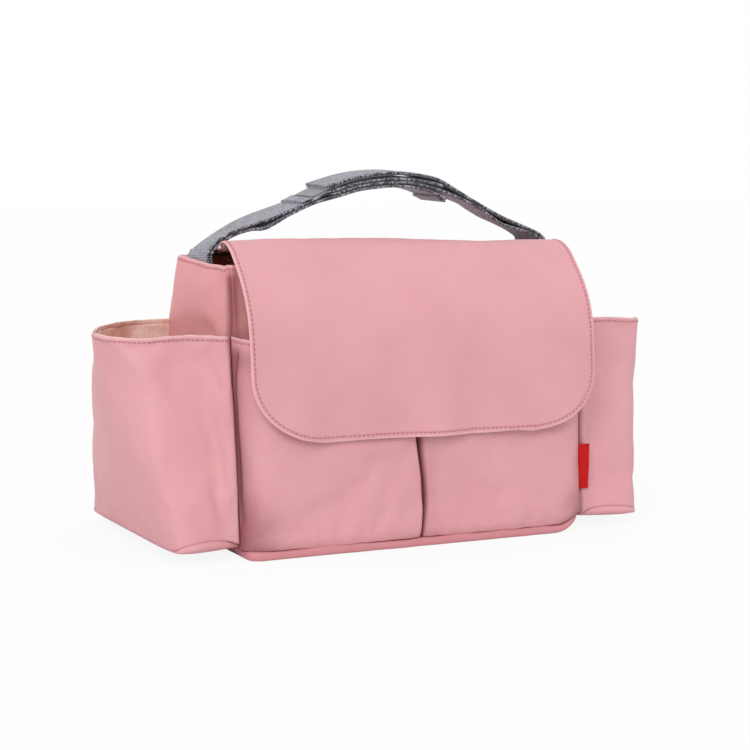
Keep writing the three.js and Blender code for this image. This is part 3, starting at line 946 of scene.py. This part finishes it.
def front_pocket(side):
    seed = 31 if side == "left" else 37
    drops = np.array([3.8, 3.0, 2.2, 1.0, 0])
    low = FRONT_SEAM_Z + np.array([0, 0.8, 2.0, 4.0, 7.0])
    heights = np.concatenate([low, np.linspace(16, POCKET_RIM_Z - 6, 34), POCKET_RIM_Z - drops])
    grid = np.array([front_pocket_row(side, z) for z in heights])
    if side == "left":
        grid = grid[:, ::-1]
    columns = grid.shape[1]
    up = (heights / POCKET_RIM_Z)[:, None]
    place = np.linspace(0, 1, columns)
    from_pleat = place if side == "right" else 1 - place
    off_seam = ease((1 - from_pleat) / 0.1)
    free = ease(from_pleat / 0.12) * off_seam * ease((heights[:, None] - 6) / 14)
    crumple = wander(grid, 55, seed) + 0.35 * wander(grid, 18, seed + 1)
    grid = lift(grid, free * crumple)
    gathers = wander(grid * [1, 0, 0], 9, seed + 2) * hump(heights, FRONT_SEAM_Z + 4, 7)[:, None]
    grid = lift(grid, gathers * off_seam)
    sewn = (from_pleat > 0.93) | (from_pleat < 0.06) | (heights < 9)[:, None]
    held = np.clip(sewn + 0.7 * ease((up - 0.55) / 0.2), 0, 1)
    grid = corner_lift(soften(grid, held, 0.008, outward=1.0, inward=1.6))
    below = (POCKET_RIM_Z - heights)[:, None]
    across = run_lengths(grid, 1)
    from_seam = across if side == "left" else across[:, -1:] - across
    from_lip = across[:, -1:] - from_seam
    # painted shade: darker near the side seam below the hem, at both lips where the cloth turns into
    # the pleat, and on the right pocket beside its lip
    tucked = 0.72 * ease(1 - from_seam / 42) * ease((below - 2) / 12)
    tucked += lerp(0.75, 0, ease(from_lip / 6))
    if side == "right":
        tucked += 0.22 * ease(1 - from_lip / 22)
    tucked = np.clip(tucked, 0, 0.85)
    name, nodes = f"front_pocket_cloth_{side}", [f"front_pocket_{side}"]
    cloth = cloth_piece(name, grid, CLOTH, PINK, nodes, hem=below, tucked=tucked)
    row = index_of(POCKET_RIM_Z - HEM, heights)
    along = np.linspace(0, columns - 3, 300) + (2 if side == "right" else 0)
    line = stitches(f"front_pocket_stitching_{side}", grid, row, along, THREAD)
    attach(line, "bag")
    declare_sheet(grid)
    keep = heights > 14
    unlined = GUSSET_STEPS - 3
    inner = grid[keep][:, :-unlined] if side == "right" else grid[keep][:, unlined:]
    inner = lift(inner, -CLOTH - 0.3)
    inner[..., 1] = np.minimum(inner[..., 1], (front_y(heights[keep]) - 0.9)[:, None])
    satin_name, nodes = f"front_pocket_satin_{side}", [f"front_pocket_lining_{side}"]
    lining = cloth_piece(satin_name, inner, LINING, CREAM, nodes, "satin", hem=below[keep])
    declare_sheet(inner)


def pleat_backing():
    """The fold of cloth behind the two lips of the box pleat."""
    heights = np.linspace(FRONT_SEAM_Z + 1, POCKET_RIM_Z - 3, 40)
    rows = []
    for z in heights:
        centre = np.interp(z, PLEAT_HEIGHTS, PLEAT_EDGES["left"]) + 1.0
        depth = front_y(z) - face_y(z)
        across = np.linspace(-1, 1, 9)
        y = face_y(z) + depth * (0.62 - 0.22 * across**2)
        rows.append(xyz(centre + 2.2 * across, y, z))
    grid = np.array(rows)
    # painted shade: the backing is darkened all over, as it sits in the pleat's shaded gap
    obj = cloth_piece("pleat_backing", grid, LINING, PINK_LIGHTENED_PANEL, ["front_pocket_pleat"],
                      tucked=0.8)
    declare_sheet(grid)


# ---------- flap
FLAP_PROFILE = [  # Y and Z of the inner skin, from the back seam over the top to the lower edge
    (47.5, 191.3), (33, 192.2), (14, 195.2), (-6, 199.2), (-24, 202.4), (-35.9, 203.6),
    (-45.5, 200.2), (-55.5, 191.2), (-66.5, 179), (-75.5, 164), (-81, 146), (-84, 122), (-85.1, 98),
    (-85.1, 76),
]
FLAP_BACK_HALF = 120
FLAP_FRONT_HALF = 129
FLAP_FLARE = (-6, -34)  # the flap widens between these Y
FLAP_CORNER = {"left": (52, 45), "right": (50, 36)}  # half-axes of the rounded lower corners
FLAP_SIDE_DROOP = 2.4  # the top's side edges hang a little over the open ends
FLAP_RIGHT_SAG = 4.0  # the crown is lower towards the right
FAR = 999  # a distance from the lower edge at which its corners no longer matter
HOOK_STAND_OFF = 1.2


def flap_half(y, from_end, side):
    """Half the flap's width on one side, at a point of its profile."""
    flare = ease((FLAP_FLARE[0] - y) / (FLAP_FLARE[0] - FLAP_FLARE[1]))
    half = lerp(FLAP_BACK_HALF, FLAP_FRONT_HALF, flare)
    rx, ry = FLAP_CORNER[side]
    round_off = rx * (1 - np.sqrt(1 - np.clip(1 - from_end / ry, 0, 1) ** 2))
    return half - round_off


def flap_grid():
    """The flap's inner skin, the distance of each point to its edge and of each row to its end."""
    length = run_lengths(spline(FLAP_PROFILE, np.linspace(0, 1, 400)), 0)[-1]
    ends = np.array([0, 0.5, 1.2, 2.2, 3.4, 5, 7, 9.5, 12.5, 16, 20, 25])
    from_end = np.concatenate([ends, np.linspace(30, length, 54)])
    rows = []
    hems = []
    for (y, z), end in zip(spline(FLAP_PROFILE, 1 - from_end / length), from_end):
        x = np.linspace(-flap_half(y, end, "left"), flap_half(y, end, "right"), 74)
        across = (x + FLAP_FRONT_HALF) / (2 * FLAP_FRONT_HALF)
        drop = lerp(1.3, -0.7, across) * ease(1 - end / 70)
        droop = ease((np.abs(x) - 92) / 26) * ease((40 - y) / 20) * ease((y + 34) / 20)
        sag = ease((x + 40) / 150) * ease((end - 60) / 60) * ease((44 - y) / 30)
        drop = drop - FLAP_SIDE_DROOP * droop - FLAP_RIGHT_SAG * sag
        rows.append(xyz(x, y, z + drop))
        hems.append([edge_distance(one, end, y) for one in x])
    return np.array(rows), np.array(hems), from_end


def edge_distance(x, end, y):
    """Distance in the flat cloth from a point of the flap to its edge."""
    side = "left" if x < 0 else "right"
    rx, ry = FLAP_CORNER[side]
    to_side = flap_half(y, FAR, side) - abs(x)
    if to_side < rx and end < ry:
        radius = math.hypot(1 - to_side / rx, 1 - end / ry)
        return max(0.0, (1 - radius) * min(rx, ry) * 1.05)
    return min(to_side, end)


def flap():
    skin, hem, from_end = flap_grid()
    end = from_end[:, None]
    x = skin[..., 0]
    waves = 0.9 * np.sin(x / 15.2 + 1.2) + 0.6 * np.sin(x / 8.3 + 0.4) + 0.8 * wander(skin, 44, 41)
    drape = 1.9 * waves * np.exp(-end / 46) + 0.9 * wander(skin, 70, 42) * ease(end / 60)
    top = ease((end - 150) / 30)
    skin = lift(skin, drape * (1 - 0.7 * top) + 0.9)
    near_back = ease((end - 175) / 20)
    held = np.clip(near_back + 0.12, 0, 1) + np.zeros(hem.shape)
    skin = soften(skin, held, 0.004, outward=1.6, inward=0.8)
    shell_grid = lift(skin, 1.3)
    nodes = ["flap_top_shell", "flap_front_shell"]
    shell = cloth_piece("flap_cloth", shell_grid, CLOTH, PINK, nodes, body=None, hem=hem)
    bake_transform(shell)
    lining_grid = skin[2:]
    centre = (lining_grid[:, :1] + lining_grid[:, -1:]) / 2
    lining_grid = centre + (lining_grid - centre) * 0.985
    nodes = ["flap_top_lining", "flap_front_lining"]
    lining = cloth_piece("flap_lining_cloth", lining_grid, LINING, PEACH, nodes, "satin", None,
                         hem=hem[2:])
    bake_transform(lining)
    line = flap_stitch_line(from_end, skin.shape[1])
    thread_line = stitches("flap_stitching", shell_grid, *line, THREAD)
    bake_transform(thread_line)
    declare_sheet(shell_grid)
    declare_sheet(lining_grid)
    hook_patches(skin)


BINDING_BACK = [178, 179, 181, 183.5, 186, 188.5, 190.5]  # Z of its rows on the back panel
BINDING_OVER = [  # Y and Z of its rows over the rim and onto the flap
    (50.2, 192.2), (48.9, 194), (46.8, 194.9), (44, 195.2), (41, 195.4), (40, 194.6),
]


def flap_binding():
    """The strip of twill that joins the back panel to the flap."""
    low = np.array(BINDING_BACK, float)
    belly = BACK_BULGE * np.sin(math.pi * low / RIM_Z)
    stand_off = np.interp(low, [178, 179, 190.5], [0.6, 1.3, 1.5])
    profile = np.vstack([np.column_stack([back_y(low) + belly + stand_off, low]), BINDING_OVER])
    x = np.linspace(FLAP_BACK_HALF, -FLAP_BACK_HALF, 90)
    grid = np.array([xyz(x, y, z) for y, z in profile])
    grid = lift(grid, 0.25 * wander(grid, 18, 81))
    run = run_lengths(profile, 0)
    hem = np.minimum(run, run[-1] - run)[:, None]
    strip = cloth_piece("flap_binding", grid, 1.0, PINK, body=None, hem=hem)
    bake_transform(strip)
    columns = np.linspace(0, grid.shape[1] - 1, 300)
    line = stitches("flap_binding_stitching", grid, index_of(HEM, run), columns, THREAD)
    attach(line, "bag")
    declare_sheet(grid)


def flap_stitch_line(from_end, columns):
    """Rows and columns of a line one hem inside the flap's edge, from left top to right top."""
    length = from_end[-1]
    angle = np.linspace(0, math.pi / 2, 80)
    rows, shares = [], []
    for side, sign in (("left", -1), ("right", 1)):
        rx, ry = FLAP_CORNER[side]
        ends = np.concatenate([np.linspace(length - 55, ry, 120), ry - (ry - HEM) * np.sin(angle)])
        inward = np.concatenate([np.full(120, HEM), rx - (rx - HEM) * np.cos(angle)])
        y = spline(FLAP_PROFILE, 1 - ends / length)[:, 0]
        x = sign * (flap_half(y, FAR, side) - inward)
        left, right = -flap_half(y, ends, "left"), flap_half(y, ends, "right")
        rows.append(index_of(ends, from_end))
        shares.append((x - left) / (right - left))
    bottom = np.linspace(shares[0][-1], shares[1][-1], 200)
    row = np.concatenate([rows[0], np.full(200, rows[0][-1]), rows[1][::-1]])
    share = np.concatenate([shares[0], bottom, shares[1][::-1]])
    return row, share * (columns - 1)


def hook_patches(skin):
    """Hook patches on the flap's underside, over the loop patches of the front pockets."""
    for side in ("left", "right"):
        low, high = corners_mm(f"hook_patch_{side}")
        x, z = np.meshgrid(np.linspace(low[0], high[0], 19), np.linspace(low[2], high[2], 9))
        grid = xyz(x, flap_front_y(skin, x, z) + HOOK_STAND_OFF, z)[:, ::-1]
        name, nodes = f"hook_patch_cloth_{side}", [f"hook_patch_{side}"]
        cloth_piece(name, grid, 1.1, HOOKS, nodes, "tape", "flap_front")


def flap_front_y(skin, xs, zs):
    """Y of the flap's front at places given by X and Z: a mean of its nearest points."""
    flat = skin.reshape(-1, 3)
    front = flat[flat[:, 1] <= -70]
    result = []
    for x, z in zip(xs.ravel(), zs.ravel()):
        gap = (front[:, 0] - x) ** 2 + (front[:, 2] - z) ** 2
        near = np.argsort(gap)[:4]
        weight = 1 / (0.5 + gap[near])
        result.append((front[near, 1] * weight).sum() / weight.sum())
    return np.array(result).reshape(xs.shape)


# ---------- handle
# X and Z of each band's centre line, and how far its front edge rises and its back edge falls
BANDS = {
    "right_upper": [(-40, 239.2, 0), (-12, 246.4, 0), (16, 248.6, 0), (44, 244.8, -0.2),
                    (60, 237.6, -0.5), (76, 229.3, -0.9), (97, 219.0, -1.2), (118, 210.2, -0.8),
                    (130, 204.8, -0.3), (135.5, 199.8, 0), (133.5, 194, 0), (127.8, 189.4, 0),
                    (126.4, 182, 0), (126.4, 170, 0)],
    "left_upper": [(-126.4, 170, 0), (-126.4, 187, 0), (-127.4, 191.5, 0.8), (-124.8, 196.6, 2.6),
                   (-117.3, 202.4, 2.8), (-107, 208.2, 2.0), (-92, 214.5, 0.2), (-80.6, 218.2, -0.4),
                   (-69.2, 222.3, 0), (-58, 226.4, 0.3), (-47, 231.4, 0), (-36, 235.9, 0),
                   (-12, 242.2, 0), (16, 244.4, 0), (44, 241, 0), (52, 238.4, 0)],
    "right_lower": [(-38, 233.4, 0), (-30, 235.3, 0), (-12, 239.8, 0), (16, 242, 0), (38, 239.2, 0),
                    (60, 232.6, -0.3), (80, 225.1, -1.5), (89, 219.7, -1.9), (100, 213.6, -2.2),
                    (110, 210.1, -1.6), (121, 206.2, -0.6), (129.5, 202, 0), (132.6, 198.6, 0),
                    (130.8, 194.2, 0), (125.6, 189.2, 0), (124.2, 182, 0), (124.2, 170, 0)],
    "left_lower": [(-124.2, 170, 0), (-124.2, 187, 0), (-125, 191.2, 0.8), (-122.6, 195.6, 2.4),
                   (-115.8, 200.5, 2.7), (-106, 206, 2.0), (-95, 210.2, 0.4), (-86.4, 212.4, -1.7),
                   (-77.9, 215.9, -1.5), (-69.2, 219.9, -0.6), (-58, 224.1, 0.3), (-47, 228.6, 0),
                   (-30, 232.8, 0), (-12, 237.2, 0), (16, 239.4, 0), (38, 236.3, 0), (54, 229.8, 0)],
}
END_FOLD = 9  # length of webbing turned under at a free end
TAPE_START = -48.5  # X of the loop tape's left end
TURNED_END = -58.6  # X where the webbing turned over beside the tape begins


def band_grid(name):
    """The centre surface of a band, and the X of each of its columns."""
    x, z, twist = spline(BANDS[name], np.linspace(0, 1, 120)).T
    rows = []
    for t in np.linspace(-1, 1, 13):
        rows.append(xyz(x, STRAP_Y + t * STRAP_WIDTH / 2, z - t * twist))
    grid = np.array(rows)
    grid[..., 1] += 0.6 * wander(grid * [1, 0, 1], 28, 51)
    return lift(grid, 0.12 * wander(grid, 15, 52)), x


def band_piece(name, grid, thickness, material, stands_for=()):
    obj = grid_mesh(name, lift(grid, thickness / 2))
    shift_v(obj)
    thicken(obj, thickness)
    dress(obj, material, None, stands_for)
    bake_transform(obj)
    return obj


def strap_band(name):
    side = name.split("_")[0]
    grid, x = band_grid(name)
    nodes = [f"{name}_strap"]
    if name.endswith("upper"):
        nodes.append(f"{side}_strap_tail")
    band_piece(f"{name}_band", grid, STRAP_THICKNESS, GREY, nodes)
    free_end = x[0] if side == "right" else x[-1]
    if name in ("right_upper", "left_lower"):
        turned = grid[:, np.abs(x - free_end) < END_FOLD]
        band_piece(f"{name}_end", lift(turned, -1.85), 1.7, GREY)
    return grid, x


def grip_tapes(grid, x):
    """The loop tape and the webbing turned over beside it, on top of the left upper band."""
    reach = corners_mm("grip_loop_tape")[1][0]
    under = (x > TAPE_START) & (x < reach)
    tape = lift(grid[1:-1, under], STRAP_THICKNESS / 2 + 0.45)
    band_piece("grip_loop_cloth", tape, 0.8, GREY_LOOPS, ("grip_loop_tape",))
    turned = (x > TURNED_END) & (x < TAPE_START)
    fold = lift(grid[:, turned], STRAP_THICKNESS / 2 + 0.5)
    band_piece("left_upper_turned_end", fold, 0.9, GREY)
    rows = np.linspace(0.3, 11.7, 60)
    for number, place in enumerate((TURNED_END + 1.5, TAPE_START - 1.2)):
        column = index_of(place, x[turned])
        line = stitches(f"grip_stitching_{number}", lift(fold, 0.5), rows, column, GREY_THREAD)
        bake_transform(line)


def shift_v(obj):
    """Puts the webbing's V at zero on its centre line."""
    layer = obj.data.uv_layers["UVMap"]
    uv = np.empty(len(layer.data) * 2)
    layer.data.foreach_get("uv", uv)
    uv[1::2] -= STRAP_WIDTH * MM / 2
    layer.data.foreach_set("uv", uv)


def handle():
    for name in BANDS:
        band = strap_band(name)
        if name == "left_upper":
            grip_tapes(*band)
    paint(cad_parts["grip_hook_tape"], GREY_PILE)


# ---------- label
def label():
    """A blank folded ribbon caught in the seam beside the right front pocket."""
    low, high = corners_mm("side_label")
    x0, x1 = low[0] - 3.6, high[0] - 2.2
    y = (low[1] + high[1]) / 2
    path = [(x0, y - 0.5), (lerp(x0, x1, 0.5), y - 0.9), (x1 - 0.4, y - 0.6), (x1, y),
            (x1 - 0.4, y + 0.5), (lerp(x0, x1, 0.5), y + 0.4), (x0, y + 0.4)]
    plan = spline(path, np.linspace(0, 1, 40))
    grid = np.array([level(plan, z) for z in np.linspace(low[2], high[2], 24)])
    grid[..., 1] += 0.5 * wander(grid * [1, 0, 1], 15, 61)
    obj = cloth_piece("label_ribbon", grid, 0.3, RED, ["side_label"], "label")
    declare_sheet(grid)


def patches_and_board():
    """CAD solids that stay in view as they are."""
    for side in ("left", "right"):
        paint(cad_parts[f"loop_patch_{side}"], LOOPS)
    paint(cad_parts["base_board"], BOARD)


# ---------- floor, light and camera
SKY_STRENGTH = 0.88  # the sky lights the bag less brightly than it looks behind it
FLOOR_PAPER = 0.9  # how much the floor looks like plain white paper
FLOOR_REACH = 4000
FLOOR_Z = -0.2
CAMERA_ANGLES = (-26.43, 7.81, 0.82)  # azimuth, elevation and roll, in degrees
CAMERA_TARGET = (-0.00173, -0.006, 0.10707)  # in metres, like the distance
CAMERA_DISTANCE = 1.40719


def floor_and_light():
    reach = (-FLOOR_REACH, FLOOR_REACH)
    ground = grid_mesh("floor", np.array([[(x, y, FLOOR_Z) for x in reach] for y in reach], float))
    g = Graph("floor_paint")
    place = g.add("TexCoord").outputs["Object"]
    tone = g.speckle(place, 0.8)
    g.finish(g.blend(tone, (0.8, 0.8, 0.8, 1), (0.78, 0.78, 0.78, 1)), 0.9, 0.0)
    paper = g.add("Emission", [("Color", (1, 1, 1, 1)), ("Strength", 1.0)])
    seen = g.calc("MULTIPLY", g.add("LightPath").outputs["Is Camera Ray"], FLOOR_PAPER)
    mixed = g.add("MixShader", [(0, seen), (1, g.shader.outputs[0]), (2, paper.outputs[0])])
    g.tree.links.new(mixed.outputs[0], g.tree.nodes["Material Output"].inputs["Surface"])
    ground.data.materials.append(g.material)
    world = bpy.data.worlds.new("studio")
    world.use_nodes = True
    nodes, links = world.node_tree.nodes, world.node_tree.links
    nodes["Background"].inputs["Color"].default_value = (1, 1, 1, 1)
    seen = nodes.new("ShaderNodeLightPath").outputs["Is Camera Ray"]
    strength = nodes.new("ShaderNodeMapRange")
    strength.inputs["To Min"].default_value = SKY_STRENGTH
    strength.inputs["To Max"].default_value = 1.0
    links.new(seen, strength.inputs["Value"])
    links.new(strength.outputs[0], nodes["Background"].inputs["Strength"])
    SCENE.world = world
    for name, toward, angle, strength in [
        ("key", (-0.85, -1.0, 0.9), 30, 1.1),
        ("top", (0.1, -0.2, 1.0), 60, 0.2),
    ]:
        light = bpy.data.lights.new(name, "SUN")
        light.angle = math.radians(angle)
        light.energy = strength
        lamp = bpy.data.objects.new(name, light)
        lamp.location = Vector(toward) * 2
        lamp.rotation_euler = Vector(toward).to_track_quat("Z", "Y").to_euler()
        SCENE.collection.objects.link(lamp)
    SCENE.view_settings.view_transform = "Standard"


def camera():
    azimuth, elevation, roll = (math.radians(angle) for angle in CAMERA_ANGLES)
    aim = Matrix.Rotation(azimuth, 4, "Z") @ Matrix.Rotation(math.pi / 2 - elevation, 4, "X")
    stand = Matrix.Rotation(roll, 4, "Z") @ Matrix.Translation((0, 0, CAMERA_DISTANCE))
    lens = bpy.data.cameras.new("camera")
    lens.lens = 96
    lens.sensor_width = 36
    eye = bpy.data.objects.new("camera", lens)
    eye.matrix_world = Matrix.Translation(CAMERA_TARGET) @ aim @ stand
    SCENE.collection.objects.link(eye)
    SCENE.camera = eye


# ---------- the bag
camera()
body_shell()
bottom_tray()
main_lining()
for one_side in ("left", "right"):
    bottle_pocket(one_side)
    front_pocket(one_side)
pleat_backing()
flap()
flap_binding()
handle()
label()
patches_and_board()
floor_and_light()
